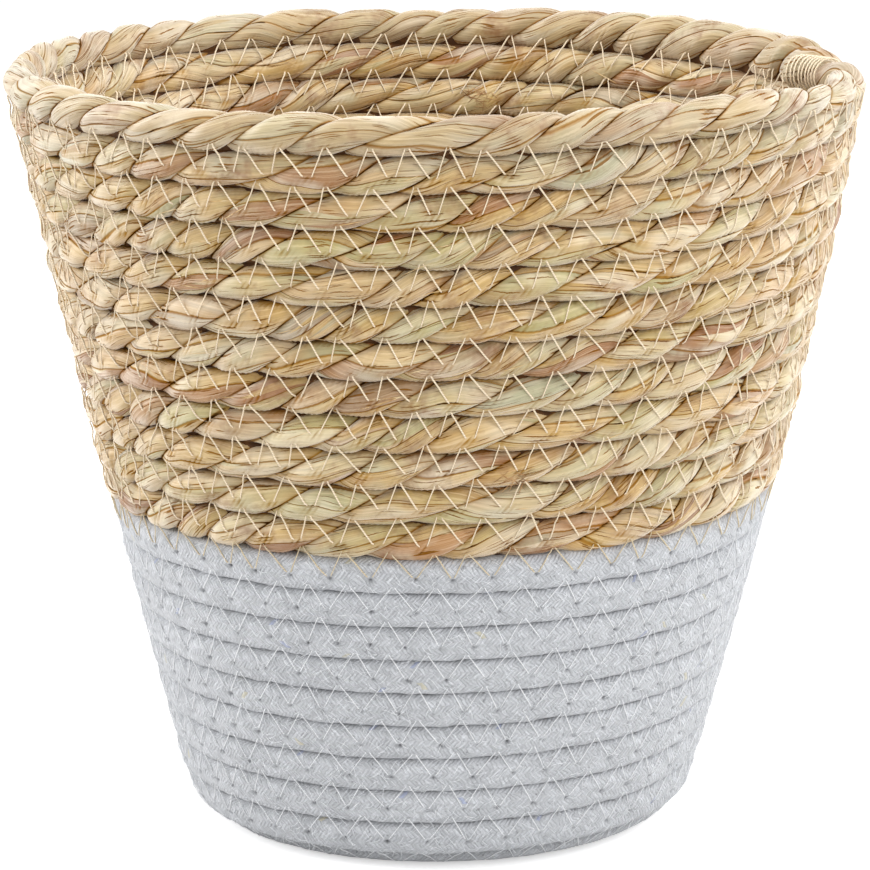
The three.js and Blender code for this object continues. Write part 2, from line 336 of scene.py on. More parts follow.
def seagrassMaterial():
    material, add = newMaterial("dried seagrass")
    smooth = {"interpolation_type": "SMOOTHSTEP"}
    uv = add("UVMap", uv_map="lay")
    place = add("TexCoord").outputs["Object"]
    across, along = add("SeparateXYZ", uv).outputs[:2]
    strip = add("Math", across, operation="FLOOR")
    strip = add("Math", strip, leaf["strips"], operation="FLOORED_MODULO")
    inStrip = add("Math", across, operation="FRACT")
    # a strip is a row of blades with pointed ends, each of its own colour
    shift = add("TexWhiteNoise", noise_dimensions="1D", W=strip)
    blades = add("Math", along, leaf["length"], operation="DIVIDE")
    blades = add("Math", shift, 7.0, blades, operation="MULTIPLY_ADD")
    point = add("Math", across, 0.5, operation="PINGPONG")
    blades = add("Math", point, 0.5, blades, operation="MULTIPLY_ADD")
    blade = add("Math", blades, operation="FLOOR")
    who = add("CombineXYZ", strip, blade)
    pick = add("TexWhiteNoise", noise_dimensions="2D", Vector=who)
    tint = add("ValToRGB", pick, stops=leaf["palette"])
    # stretches of a blade are greener, browner or bleached
    spot = add("CombineXYZ", across, along, pick)
    spot = add("VectorMath", spot, leaf["stretches"], operation="MULTIPLY")
    stretch = add("TexNoise", Scale=1.0, Detail=2.0, Roughness=0.6, Vector=spot)
    kinds = add("SeparateColor", stretch.outputs["Color"])
    for channel, hexColour, most in leaf["tints"]:
        amount = add("MapRange", kinds.outputs[channel], 0.5, 0.72, 0.0, most)
        tint = add("Mix", data_type="RGBA", Factor_Float=amount, A_Color=tint, B_Color=linear(hexColour))
    # the rope of the rim is duller
    height = add("SeparateXYZ", place).outputs[2]
    low, top = leaf["rim"]
    dull = add("MapRange", height, low * mm, top * mm, 0.0, 0.5)
    tint = add("Mix", data_type="RGBA", Factor_Float=dull, A_Color=tint, B_Color=linear("#a09070"))
    # fine lines along each blade, about half a millimetre apart
    spot = add("VectorMath", uv, leaf["lines"], operation="MULTIPLY")
    lines = add("TexNoise", noise_dimensions="2D", Scale=1.0, Detail=4.0, Roughness=0.75, Vector=spot)
    tone = add("MapRange", lines, 0.3, 0.7, 0.75, 1.1)
    tint = add("VectorMath", tint, operation="SCALE", Scale=tone)
    pale = add("MapRange", lines, 0.5, 0.72, 0.0, 0.34)
    # short splits and the edges of the blades, darkened with painted shade
    spot = add("VectorMath", uv, leaf["splits"], operation="MULTIPLY")
    splits = add("TexNoise", noise_dimensions="2D", Scale=1.0, Detail=2.0, Roughness=0.4, Vector=spot)
    splits = add("MapRange", splits, 0.65, 0.72, 0.0, 1.0, **smooth)
    other = add("Math", 1.0, inStrip, operation="SUBTRACT")
    edge = add("Math", inStrip, other, operation="MINIMUM")
    edge = add("MapRange", edge, 0.0, 0.05, 1.0, 0.0, **smooth)
    dark = add("Math", edge, 0.5, operation="MULTIPLY")
    dark = add("Math", splits, 0.6, dark, operation="MULTIPLY_ADD")
    # painted shade in the creases between the strands, along the seams and in the needle dents, faint in
    # places
    shade = add("Attribute", attribute_name="shade").outputs["Fac"]
    fade = add("TexNoise", Scale=1 / (leaf["fade"] * mm), Detail=2.0, Vector=place)
    fade = add("MapRange", fade, 0.36, 0.6, 0.35, 1.0)
    shade = add("Math", shade, fade, operation="MULTIPLY")
    dark = add("Math", shade, dark, operation="ADD", use_clamp=True)
    # the painted shade is tan at its edges and dark brown at its core
    warm = add("MapRange", dark, 0.0, 0.6, 0.0, 0.7)
    deep = add("MapRange", dark, 0.4, 1.0, 0.0, 0.95, **smooth)
    # weathered brown patches
    stain = add("TexNoise", Scale=1 / (leaf["stain"] * mm), Detail=4.0, Roughness=0.7, Vector=place)
    stain = add("MapRange", stain, 0.545, 0.72, 0.0, 0.75)
    for amount, hexColour in ((pale, "#dccdae"), (warm, "#955f22"), (deep, "#2c1400"), (stain, "#7c4a12")):
        tint = add("Mix", data_type="RGBA", Factor_Float=amount, A_Color=tint, B_Color=linear(hexColour))
    # where the painted crease shade lies there is no shine, and brown blades have lost their pale waxy sheen
    gloss = add("MapRange", dark, 0.0, 0.35, 1.0, 0.0)
    value = add("RGBToBW", tint)
    waxy = add("MapRange", value, 0.12, 0.34, 0.1, 1.0)
    waxy = add("Math", waxy, gloss, operation="MULTIPLY")
    relief = lines
    for source, amount in ((edge, -1.4), (splits, -1.2), (inStrip, 1.2)):
        relief = add("Math", source, amount, relief, operation="MULTIPLY_ADD")
    bump = add("Bump", Strength=0.8, Distance=0.22 * mm, Height=relief)
    finish = {"Roughness": 0.5, "IOR": 1.45, "Sheen Roughness": 0.56, "Sheen Tint": linear("#fff7ee")}
    links = {"Base Color": tint, "Normal": bump, "Sheen Weight": waxy, "Specular IOR Level": gloss}
    shader = add("BsdfPrincipled", **finish, **links)
    add("OutputMaterial", shader)
    return material


# one course of two-strand rope is two long strands laid round each other
seagrass = {
    "lay": 37.0,  # length of one full turn of the strands
    "layDrift": 1.1,  # in radians
    "ring": 1.55,  # along the rope, between rings
    "offset": 0.38,  # of a strand's middle from the rope's, in rope radii
    "deep": 0.62,  # half thickness of a strand
    "broad": 0.8,  # its half width
    "grooveDrift": 13,  # how far the grooves wander, in degrees
    "fibreTurns": 0.75,  # how far the blades turn back in one lay
    "ridge": 0.2,  # height of a blade's rounding
    "fat": 0.35,  # thicker and thinner stretches
    "pressed": 0.87,  # reach of the grooves where a neighbour presses them
    "flat": 0.9,  # share of the half width past which the rope is squashed
    "proud": 0.6,  # how far a strand passes the seam
    "full": -0.4,  # extra room that the rim's course takes up
    "swell": 1.6,  # the rim's course swells behind the rope's end
    "low": 3.5,  # how far the rim is pressed down before the rope's end
    "pucker": 0.6,  # depth of a dent round a needle hole
    "puckerSize": (1.9, 0.45),
    "puckerReach": 6,
    "squeeze": 0.15,  # of the rope under the whipping, and again at its end
    "strandShift": 9000,  # along the blades, so the strands are cut from different ones
    "coreRing": 6.0,
    "coreThick": 0.4,
    "coreSides": 10,
    "bakeRows": 5,
}
# degrees round a strand, closest where it meets the other one
strandSides = np.array([
    -95, -91, -88, -85, -81, -76, -69, *range(-63, 64, 6), 69, 76, 81, 85, 88, 91, 95,
    115, 145, 180, 215, 245.0,
])


def strandOutline(degrees):
    # reach of an egg-shaped strand from the middle of the rope
    c, s = np.cos(np.radians(degrees)), np.sin(np.radians(degrees))
    pull = seagrass["offset"] / seagrass["deep"]
    square = (c / seagrass["deep"]) ** 2 + (s / seagrass["broad"]) ** 2
    lean = pull * c / seagrass["deep"]
    return (lean + np.sqrt(lean**2 + square * (1 - pull**2))) / square


# winding angle, height in the rope and strength
half = basket["seagrassPitch"] / 2
needleHoles = []
for seam in (topSeam, joinSeam):
    needleHoles += [(angle + turn, rise - half, 0.6) for angle, rise in zip(seam["topAngles"], seam["rise"])]
needleHoles += [(angle, drop + half, 1.0) for angle, drop in zip(topSeam["bottomAngles"], topSeam["drop"])]


def ropeAt(angles):
    middle, up, out, room = framesAt(runAt(angles), angles, basket["seagrassPitch"])
    # the rim's course is free to lie low or, behind the rope's end, to swell
    swell = ease(angles, rimStart - 0.2, rimStart + 0.2) * (1 - ease(angles, rimStart + 0.5, rimStart + 1.5))
    rim = ease(angles, rimStart - 0.35, rimStart + 0.35) * seagrass["full"] + swell * seagrass["swell"]
    halfThick = basket["seagrassThick"] / 2 + 0.2 + 0.6 * rim
    low = seagrass["low"] * ease(angles, -1.1, -0.55)
    middle = middle + up * (rim - low)[:, None]
    # the last stretch bends in and sinks a little
    bent = np.maximum((angles + basket["bendFrom"]) / (basket["ropeEnd"] + basket["bendFrom"]), 0)
    rim = rim - 0.5 * low * (1 - ease(bent, 0.2, 0.7))
    middle = middle - levelDirections(angles)[0] * (basket["bendIn"] * bent**4.2)[:, None]
    middle[:, 2] -= basket["sink"] * bent**2
    return middle, out, room / 2 + seagrass["proud"] + rim, halfThick


def seagrassFrames(angles):
    middle, out, halfWidth, halfThick = ropeAt(angles)
    ahead = unit(ropeAt(angles + 0.002)[0] - ropeAt(angles - 0.002)[0])
    out = unit(out - ahead * np.sum(out * ahead, 1)[:, None])
    up = np.cross(out, ahead)
    # the whipping squeezes the rope's end
    end, squeeze = basket["ropeEnd"], seagrass["squeeze"]
    shrink = 1 - squeeze * ease(angles, end - 0.24, end - 0.12) - squeeze * ease(angles, end - 0.03, end)
    return middle, up, out, halfWidth * shrink, halfThick * shrink


def bladesRound(along, strand):
    # which blade lies at each side of a strand, in blades of uneven width
    seed = 40 + strand
    v = np.radians(np.append(strandSides, strandSides[0] + 360))
    twist = seagrass["fibreTurns"] * leaf["strips"] * along / seagrass["lay"]
    q = (leaf["strips"] * v / turn)[None, :] + twist[:, None]
    q = q + 0.5 * wander(along, seed + 3, 90)[:, None] + strand * 0.5
    phase = q * turn / leaf["strips"]
    q = q + 0.15 * np.sin(2 * phase + 1.0 * wander(along, seed + 5, 160)[:, None])
    return q + 0.08 * np.sin(3 * phase + 1.5 * wander(along, seed + 9, 120)[:, None])


def strandShape(angles, along, halfWidth, halfThick, strand, q):
    # out of the wall and up it, for each ring and side, and how much painted shade the creases get
    lay = turn * along / seagrass["lay"] + strand * math.pi
    lay = (lay + seagrass["layDrift"] * wander(along, 7, 130))[:, None]
    # grooves wander, so one strand is broad where the other is narrow
    grooves = [seagrass["grooveDrift"] * wander(along, seed, 42)[:, None] for seed in (51, 52)]
    stretch = np.where(strandSides[None] > 0, 1 + grooves[strand] / 90, 1 - grooves[1 - strand] / 90)
    edge = np.abs(strandSides) / 90
    outer = edge < 1.1
    around = np.radians(np.where(outer, strandSides[None] * stretch, strandSides[None]))
    bulge = 1 - np.abs(2 * (q - np.floor(q)) - 1) ** 2
    fat = seagrass["fat"] * wander(along, 51 + strand, 45)[:, None]
    skin = seagrass["ridge"] * (bulge - 0.6) + fat
    # neighbours press the grooves shut and the rope flat, but the rim's top is free
    free = ease(angles, rimStart - 0.2, rimStart + 0.2)[:, None]
    pressed = np.abs(np.sin(around + lay)) ** 8 * (1 - 0.8 * free) * outer
    reach = strandOutline(strandSides)
    reach = reach[None, :] + pressed * np.maximum(seagrass["pressed"] - reach, 0)[None, :]
    radius = reach * (1 + skin[:, :-1] / (basket["seagrassThick"] / 2))
    radial, sideways = radius * np.cos(around), radius * np.sin(around)
    outPart = (radial * np.cos(lay) - sideways * np.sin(lay)) * halfThick
    upPart = (radial * np.sin(lay) + sideways * np.cos(lay)) * halfWidth
    limit = seagrass["flat"] * halfWidth
    flat = np.sign(upPart) * (limit + 0.25 * (np.abs(upPart) - limit))
    flat = np.where(upPart > 0, flat + free * (upPart - flat), flat)
    upPart = np.where(np.abs(upPart) > limit, flat, upPart)
    # painted shade in the grooves between the strands, and along the seams between courses except over the
    # rim's free top
    groove = np.where(outer, ease(edge, 0.92, 1.0), 1.0)
    seamward = ease(np.abs(upPart) / halfWidth, 0.86, 0.96)
    shade = np.maximum(groove[None], 0.75 * np.where(upPart > 0, seamward * (1 - free), seamward))
    return outPart, upPart, shade


def pucker(angles, middle, outPart, upPart, shade):
    # the blades are drawn in where the needle went through, and the dents get painted shade
    turnRadius = np.hypot(middle[:, 0], middle[:, 1])
    wide, tall = seagrass["puckerSize"]
    for angle, level, depth in needleHoles:
        near = np.abs(angles - angle) * turnRadius < seagrass["puckerReach"]
        if not near.any():
            continue
        ahead = (angles[near] - angle) * turnRadius[near]
        away = (ahead[:, None] / wide) ** 2 + ((upPart[near] - level) / tall) ** 2
        dent = np.exp(-away) * depth
        outPart[near] -= seagrass["pucker"] * dent * np.sign(outPart[near])
        # painted shade in the dent round the hole
        shade[near] = np.maximum(shade[near], 0.6 * dent)


def seagrassCourse(number, first, last, lengthBefore):
    angles, length = evenAngles(first, last, seagrass["ring"])
    middle, up, out, halfWidth, halfThick = seagrassFrames(angles)
    along = lengthBefore + length
    strands = []
    for strand in range(2):
        q = bladesRound(along, strand)
        shape = strandShape(angles, along, halfWidth[:, None], halfThick[:, None], strand, q)
        pucker(angles, middle, *shape)
        outPart, upPart, shade = shape
        points = ringPoints(middle, out, up, outPart, upPart)
        name = f"seagrass_course_{number:02d}_{'ab'[strand]}"
        blades = along + seagrass["strandShift"] * strand
        piece = rollRope(name, points, blades, q, seagrassMat, seagrass["bakeRows"], shade)
        register(piece, "seagrass_coil")
        strands.append(piece)
    return strands, lengthBefore + length[-1]


def seagrassCore(number, first, last, lengthBefore):
    # the inner blades fill the rope, so no light shows between courses; their dark colour is painted shade
    angles, length = evenAngles(first, last, seagrass["coreRing"])
    middle, up, out, halfWidth, halfThick = seagrassFrames(angles)
    sides = seagrass["coreSides"]
    v = np.linspace(0, turn, sides, endpoint=False)
    inside = np.full((len(angles), sides), 1.0)
    inside[:, np.sin(v) > 0] -= 0.5 * ease(angles, seamEnd - 0.25, seamEnd)[:, None]
    inside[:, np.sin(v) < 0] += 0.12 * ease(angles, rimStart - 0.1, rimStart + 0.1)[:, None]
    inside *= 1 - 0.55 * ease(angles, seamEnd + turn - 0.3, seamEnd + turn)[:, None]
    outPart = halfThick[:, None] * seagrass["coreThick"] * np.cos(v)
    points = ringPoints(middle, out, up, outPart, halfWidth[:, None] * inside * np.sin(v))
    q = np.repeat(np.linspace(0, 4, sides + 1)[None], len(angles), 0)
    name = f"seagrass_core_{number:02d}"
    core = rollRope(name, points, lengthBefore + length, q, paintedShadeCoreMat, seagrass["bakeRows"])
    register(core, "seagrass_coil")


seagrassMat = seagrassMaterial()
# inner blades in painted shade: a dark brown that stands for the shadow at the bottom of the gaps
paintedShadeCoreMat = mottledMaterial("shaded seagrass", 3, 3.0, 0.8, [(0.3, "#381d07"), (0.7, "#67421a")])
courses = {}  # course number counted down from the rim, to its strands
length = 0.0
lastCourse = math.ceil(basket["seagrassTurns"]) - 1
for number in range(lastCourse, -1, -1):
    first = max(-(number + 1) * turn, jointAngle)
    last = -number * turn if number else basket["ropeEnd"]
    before = length
    courses[number], length = seagrassCourse(number, first, last, before)
    seagrassCore(number, first, last, before)
print("seagrass courses:", lastCourse + 1, "rope length mm:", round(length))


# braided cotton: a soft matt rope whose yarns make a fine herringbone, with loose fibres
braid = {
    "row": 1.95,  # height of one row of slanted yarns
    "rows": 16,  # round the rope
    "yarn": 1.25,  # between yarns along the rope
    "patterns": {  # size in mm, detail and roughness
        "wobble": (3, 2.0, 0.5),
        "drift": (11, 1.0, 0.5),
        "jitter": (1.4, 1.0, 0.5),
        "fibre": (0.6, 4.0, 0.7),
        "patch": (7, 2.0, 0.5),
        "worn": (3.5, 3.0, 0.5),
        "speck": (1.2, 1.0, 0.5),
    },
    "hairs": (3.0, 0.33, 0),  # pale hairs about 3 mm long, per mm across and along
    "tilts": (0.7, -0.78),  # they cross the yarns both ways
    "colour": "#bbbdc1",
}


def cottonMaterial():
    material, add = newMaterial("braided cotton")
    smooth = {"interpolation_type": "SMOOTHSTEP"}
    uv = add("UVMap", uv_map="lay")
    place = add("TexCoord").outputs["Object"]
    noise = {}
    for name, (size, detail, rough) in braid["patterns"].items():
        noise[name] = add("TexNoise", Scale=1 / (size * mm), Detail=detail, Roughness=rough, Vector=place)
    fibre = noise["fibre"]
    # rows of yarns that slant one way and the other
    across, along = add("SeparateXYZ", uv).outputs[:2]
    rows = add("Math", across, braid["row"], operation="DIVIDE")
    rows = add("Math", noise["wobble"], 0.6, rows, operation="MULTIPLY_ADD")
    rows = add("Math", noise["drift"], 1.6, rows, operation="MULTIPLY_ADD")
    rowId = add("Math", rows, operation="FLOOR")
    inRow = add("Math", rows, 1.0, operation="PINGPONG")
    rowShift = add("TexWhiteNoise", noise_dimensions="1D", W=rowId)
    slant = add("Math", along, braid["yarn"], operation="DIVIDE")
    slant = add("Math", inRow, 1.35, slant, operation="MULTIPLY_ADD")
    slant = add("Math", noise["wobble"], 1.0, slant, operation="MULTIPLY_ADD")
    slant = add("Math", slant, rowShift, operation="ADD")
    slant = add("Math", noise["jitter"], 0.7, slant, operation="MULTIPLY_ADD")
    yarnId = add("Math", slant, operation="FLOOR")
    which = add("CombineXYZ", rowId, yarnId)
    lively = add("TexWhiteNoise", noise_dimensions="2D", Vector=which)
    yarn = add("Math", slant, 0.5, operation="PINGPONG")
    yarn = add("MapRange", yarn, 0.0, 0.34, 0.0, 1.0, **smooth)
    # hairs lie along the yarns, and a fuzz of them hides some
    spot = add("CombineXYZ", slant, rows)
    spot = add("VectorMath", spot, (4.2, 1.1, 0), operation="MULTIPLY")
    hair = add("TexNoise", noise_dimensions="2D", Scale=1.0, Detail=3.0, Roughness=0.65, Vector=spot)
    # the yarns darken towards their edges: painted shade in the grooves between them, in patches of varying
    # strength
    gap = add("MapRange", noise["worn"], 0.42, 0.6, 1.02, 0.82)
    tone = add("MapRange", yarn, 0.0, 1.0, gap, 1.05)
    # uneven painted shadow at the seams, and painted shade in the needle holes
    shade = add("Attribute", attribute_name="shade").outputs["Fac"]
    uneven = add("MapRange", fibre, 0.3, 0.7, 0.4, 1.5)
    uneven = add("Math", uneven, shade, operation="MULTIPLY")
    soft = [
        (fibre, 0.3, 0.7, 0.89, 1.11),
        (noise["patch"], 0.3, 0.7, 0.95, 1.04),
        (lively, 0.0, 1.0, 0.9, 1.08),
        (hair, 0.25, 0.75, 0.88, 1.1),
        (uneven, 0.0, 1.0, 1.0, 0.3),
    ]
    # small specks of painted shade stand for the gaps between yarns
    sharp = [(noise["speck"], 0.66, 0.78, 1.0, 0.6)]  # small dark gaps between yarns
    for tilt in braid["tilts"]:
        spot = add("VectorRotate", uv, rotation_type="Z_AXIS", Angle=tilt)
        spot = add("VectorMath", spot, braid["hairs"], operation="MULTIPLY")
        streak = add("TexNoise", noise_dimensions="2D", Scale=1.0, Detail=1.0, Distortion=0.5, Vector=spot)
        sharp.append((streak, 0.56, 0.72, 0.98, 1.17))
    for kind, tones in (("LINEAR", soft), ("SMOOTHSTEP", sharp)):
        for settings in tones:
            level = add("MapRange", *settings, interpolation_type=kind)
            tone = add("Math", tone, level, operation="MULTIPLY")
    grey = linear(braid["colour"])[:3]
    colour = add("VectorMath", grey, operation="SCALE", Scale=tone)
    # now and then a blue or straw-coloured yarn
    for kind, limit, hexColour in (("GREATER_THAN", 0.9982, "#8793bd"), ("LESS_THAN", 0.0016, "#cfc6a2")):
        rare = add("Math", lively, limit, operation=kind)
        rare = add("Math", rare, fibre, operation="MULTIPLY")
        colour = add("Mix", data_type="RGBA", Factor_Float=rare, A_Color=colour, B_Color=linear(hexColour))
    relief = add("Math", fibre, 0.5, yarn, operation="MULTIPLY_ADD")
    bump = add("Bump", Strength=0.8, Distance=0.25 * mm, Height=relief)
    finish = {"Roughness": 0.95, "IOR": 1.45, "Specular IOR Level": 0.15}
    finish |= {"Sheen Weight": 0.3, "Sheen Roughness": 0.5}
    shader = add("BsdfPrincipled", colour, Normal=bump, **finish)
    add("OutputMaterial", shader)
    return material


cotton = {
    "ring": 1.5,  # along the rope, between rings
    "baseRing": 2.0,
    "startRing": 0.6,
    "startTurn": 0.93,  # of a turn, in which the rope's start narrows
    "startGap": 0.2,
    "square": 2.9,  # how boxy the rope is pressed
    "halfSide": 5.3,
    "proud": 0.3,  # how far the rope passes the seam
    "pit": 1.1,  # depth of a needle hole
    "pitSize": 0.42,
    "dimple": 0.35,  # depth of the hollow round it
    "dimpleSize": 2.2,
    # the spot of painted shade in a needle hole has this size
    "holeShade": 0.36,  # size of the dark spot in a hole
    "dentReach": 5,
    "bakeRows": 4,
    "seed": 5,
}
# heights of the rope's sides over its half width, closest where the needle goes in
levels = np.array([
    -5.3, -5.25, -5.1, -4.8, -4.3, -3.6, -2.9, -2.3, -1.8, -1.3, -0.9, -0.55,
    -0.25, 0.05, 0.35, 0.7, 1.2, 1.9, 2.7, 3.5, 4.3, 4.8, 5.1, 5.25,
]) / cotton["halfSide"]


def pitRings(first, last, ringSize, pits):
    # evenly spaced rings, with extra ones at each needle hole
    angles, length = evenAngles(first, last, ringSize)
    radius = np.hypot(*surfacePoint(runAt(angles), angles)[:, :2].T).mean()
    extra = [hole + step / radius for hole, _, depth in pits if depth > 0.2 for step in (-0.5, 0, 0.5)]
    extra = [a for a in extra if first + 0.3 / radius < a < last - 0.3 / radius]
    length = np.concatenate([length, np.interp(extra, angles, length)])
    order = np.argsort(length)
    angles, length = np.concatenate([angles, extra])[order], length[order]
    keep = np.concatenate([[True], np.diff(length) > 0.12])
    keep[-1] = True
    return angles[keep], length[keep], radius


def cottonCourse(name, first, last, lengthBefore, pits, ringSize, node):
    angles, length, radius = pitRings(first, last, ringSize, pits)
    run = runAt(angles)
    span = np.full(len(angles), basket["cottonPitch"])
    if last < startAngle + 0.01:
        # the rope's start narrows into the middle of the base
        outer = run + span / 2
        run, span = (outer + cotton["startGap"]) / 2, outer - cotton["startGap"]
    thin = 0.7 + 0.3 * span / basket["cottonPitch"]
    middle, up, out, room = framesAt(run, angles, span)
    outShape = (1 - np.abs(levels) ** cotton["square"]) ** (1 / cotton["square"])
    outShape = np.concatenate([outShape, -outShape[::-1]])
    upShape = np.concatenate([levels, levels[::-1] + 0.0])
    # a soft rope is never quite even
    along = lengthBefore + length
    halfWidth = room / 2 + cotton["proud"] + 0.1 * wander(along, 22, 9) + 0.12 * wander(along, 24, 4)
    halfThick = thin * basket["cottonThick"] / 2 + 0.12 * wander(along, 21, 30)
    middle = middle + up * (0.15 * wander(along, 23, 14))[:, None]
    outPart = outShape[None] * halfThick[:, None]
    upPart = upShape[None] * halfWidth[:, None]
    # soft painted shadow at the seams, deeper under each course
    seamward = np.maximum(0.45 * ease(-upShape, 0.78, 1.0), 0.25 * ease(upShape, 0.92, 1.0))
    shade = np.repeat(seamward[None], len(angles), 0)
    # each needle hole dents the rope and gets a spot of painted shade
    for angle, level, depth in pits:
        near = np.abs(angles - angle) * radius < cotton["dentReach"]
        if not near.any():
            continue
        ahead = (angles[near] - angle) * np.hypot(middle[near, 0], middle[near, 1])
        away = ahead[:, None] ** 2 + (upPart[near] - level) ** 2
        dent = cotton["pit"] * np.exp(-away / (2 * cotton["pitSize"] ** 2))
        dent = dent + cotton["dimple"] * np.exp(-away / (2 * cotton["dimpleSize"] ** 2))
        shade[near] = np.maximum(shade[near], np.exp(-away / (2 * cotton["holeShade"] ** 2)) * depth)
        outPart[near] -= dent * np.sign(outPart[near]) * depth
    points = ringPoints(middle, out, up, outPart, upPart)
    section = np.stack([outShape * basket["cottonThick"] / 2, upShape * cotton["halfSide"]], 1)
    around = lengthAlong(np.append(section, section[:1], 0))
    around = around / around[-1] * braid["rows"] * braid["row"]
    uvAround = np.repeat(around[None], len(angles), 0)
    piece = rollRope(name, points, along, uvAround, cottonMat, cotton["bakeRows"], shade)
    register(piece, node)
    return piece, lengthBefore + length[-1]


cottonMat = cottonMaterial()
half = basket["cottonPitch"] / 2
strength = np.random.default_rng(cotton["seed"]).uniform(0.45, 1.1, len(cottonSeam["tops"]))
pits = [(a, d + half, s) for a, d, s in zip(cottonSeam["bottomAngles"], cottonSeam["drop"], strength)]
pits += [(a + turn, d - half, 0.15) for a, d in zip(cottonSeam["topAngles"], cottonSeam["rise"])]
pits += [(a, d + half, 0.9) for a, d in zip(joinSeam["bottomAngles"], joinSeam["drop"])]
eyeAngle = startAngle - cotton["startTurn"] * turn
before = -evenAngles(eyeAngle, startAngle, cotton["startRing"])[1][-1]
cottonCourse("cotton_base_start", eyeAngle, startAngle, before, [], cotton["startRing"], "cotton_base_coil")
edges = [startAngle]
for end in (splitAngle, jointAngle):
    while edges[-1] + turn < end:
        edges.append(edges[-1] + turn)
    edges.append(end)
cottonPieces = []
length = 0.0
for number, (first, last) in enumerate(zip(edges[:-1], edges[1:])):
    part = "base" if last <= splitAngle + 1e-6 else "wall"
    mine = [p for p in pits if first - 0.1 < p[0] < last + 0.1]
    ringSize = cotton["baseRing"] if part == "base" else cotton["ring"]
    name = f"cotton_{part}_{number:02d}"
    piece, length = cottonCourse(name, first, last, length, mine, ringSize, f"cotton_{part}_coil")
    cottonPieces.append((first, last, piece))
print("cotton courses:", len(cottonPieces), "rope length mm:", round(length))


# thin round lines: paths holds (points in mm, thickness along them)
def linePiece(name, paths, radius, rounding, material, node):
    curve = bpy.data.curves.new(name, "CURVE")
    curve.dimensions = "3D"
    curve.bevel_depth = radius * mm
    curve.bevel_resolution = rounding
    curve.use_fill_caps = radius > 0.1
    for points, thick in paths:
        spline = curve.splines.new("POLY")
        spline.points.add(len(points) - 1)
        spline.points.foreach_set("co", np.c_[points * mm, np.ones(len(points))].reshape(-1))
        spline.points.foreach_set("radius", np.ones(len(points)) * thick)
    shape = bpy.data.objects.new(name + "_line", curve)
    bpy.context.collection.objects.link(shape)
    mesh = bpy.data.meshes.new_from_object(shape.evaluated_get(bpy.context.evaluated_depsgraph_get()))
    bpy.data.objects.remove(shape)
    mesh.name = name
    mesh.materials.clear()
    mesh.materials.append(material)
    for polygon in mesh.polygons:
        polygon.use_smooth = True
    piece = bpy.data.objects.new(name, mesh)
    bpy.context.collection.objects.link(piece)
    register(piece, node)
    return piece


# loose cotton fibres stand off the rope and cross the seams
fuzz = {"count": 6000, "radius": 0.06, "length": 3.2, "lift": 0.35, "slant": 48, "seed": 17}


def looseFibres(material):
    rng = np.random.default_rng(fuzz["seed"])
    count = fuzz["count"]
    angles = rng.uniform(splitAngle, jointAngle, count)
    middle, up, out, room = framesAt(runAt(angles), angles, basket["cottonPitch"])
    ahead = levelDirections(angles)[1]
    level = rng.uniform(-0.97, 0.97, count)
    side = np.where(rng.random(count) < 0.8, 1, -1)
    slant = rng.choice([-1, 1], count) * np.radians(rng.normal(fuzz["slant"], 16, count))
    size = fuzz["length"] * rng.uniform(0.5, 1.5, count)
    lift = fuzz["lift"] * rng.uniform(0.1, 1.6, (3, count))
    curl = rng.normal(0, 0.25, count)
    halfThick = basket["cottonThick"] / 2
    places = []
    for i, step in enumerate((-0.5, -0.17, 0.17, 0.5)):
        sideways = np.cos(slant) * step * size - curl * size * (step**2) * np.sin(slant)
        upward = np.sin(slant) * step * size + curl * size * (step**2) * np.cos(slant)
        height = np.clip(level + upward / (room / 2), -1.9, 1.9)
        folded = np.where(np.abs(height) > 1, 2 - np.abs(height), np.abs(height))
        skin = halfThick * (1 - folded ** cotton["square"]) ** (1 / cotton["square"])
        skin = np.maximum(skin, 0.8 * halfThick)
        stand = skin + (0.02 if i == 0 else lift[i - 1] * (0.6, 1.0, 0.7)[i - 1])
        place = middle + ahead * sideways[:, None] + up * (height * room / 2)[:, None]
        places.append(place + out * (side * stand)[:, None])
    paths = [(points, 1.0) for points in np.stack(places, 1)]
    linePiece("loose_cotton_fibres", paths, fuzz["radius"], 0, material, "cotton_wall_coil")
    print("loose fibres:", count)


# single pale fibres that catch the light
fibreMat = mottledMaterial("loose cotton fibre", 2, 2.0, 0.8, [(0.35, "#cfd2d6"), (0.65, "#f3f4f6")])
looseFibres(fibreMat)


# sewing thread: thin plied thread with a soft shine, drawn taut over the ropes and into the needle holes
def threadMaterial(name, hexColour, rough):
    material, add = newMaterial(name)
    along, around = add("SeparateXYZ", add("UVMap", uv_map="UVMap")).outputs[:2]
    ply = add("Math", around, 2.0, operation="MULTIPLY")
    ply = add("Math", along, 13.0, ply, operation="MULTIPLY_ADD")
    ply = add("Math", ply, 0.5, operation="PINGPONG")
    tone = add("MapRange", ply, 0.0, 0.35, 0.68, 1.06, interpolation_type="SMOOTHSTEP")
    colour = add("VectorMath", linear(hexColour)[:3], operation="SCALE", Scale=tone)
    shader = add("BsdfPrincipled", colour, Roughness=rough, IOR=1.5)
    add("OutputMaterial", shader)
    return material


sewing = {
    "points": 8,  # along one leg of a zigzag
    "slack": 0.12,  # how much a thread follows the hollows
    "proud": 0.8,  # in radii, how far it lies over the rope
    "least": 0.6,
    "reach": 12.0,  # rays for finding the ropes start this far out
}
graph = bpy.context.evaluated_depsgraph_get()
strandTrees = {}
for number, strands in courses.items():
    strandTrees[number] = [BVHTree.FromObject(piece, graph) for piece in strands]
cottonTrees = [(first, last, BVHTree.FromObject(piece, graph)) for first, last, piece in cottonPieces]


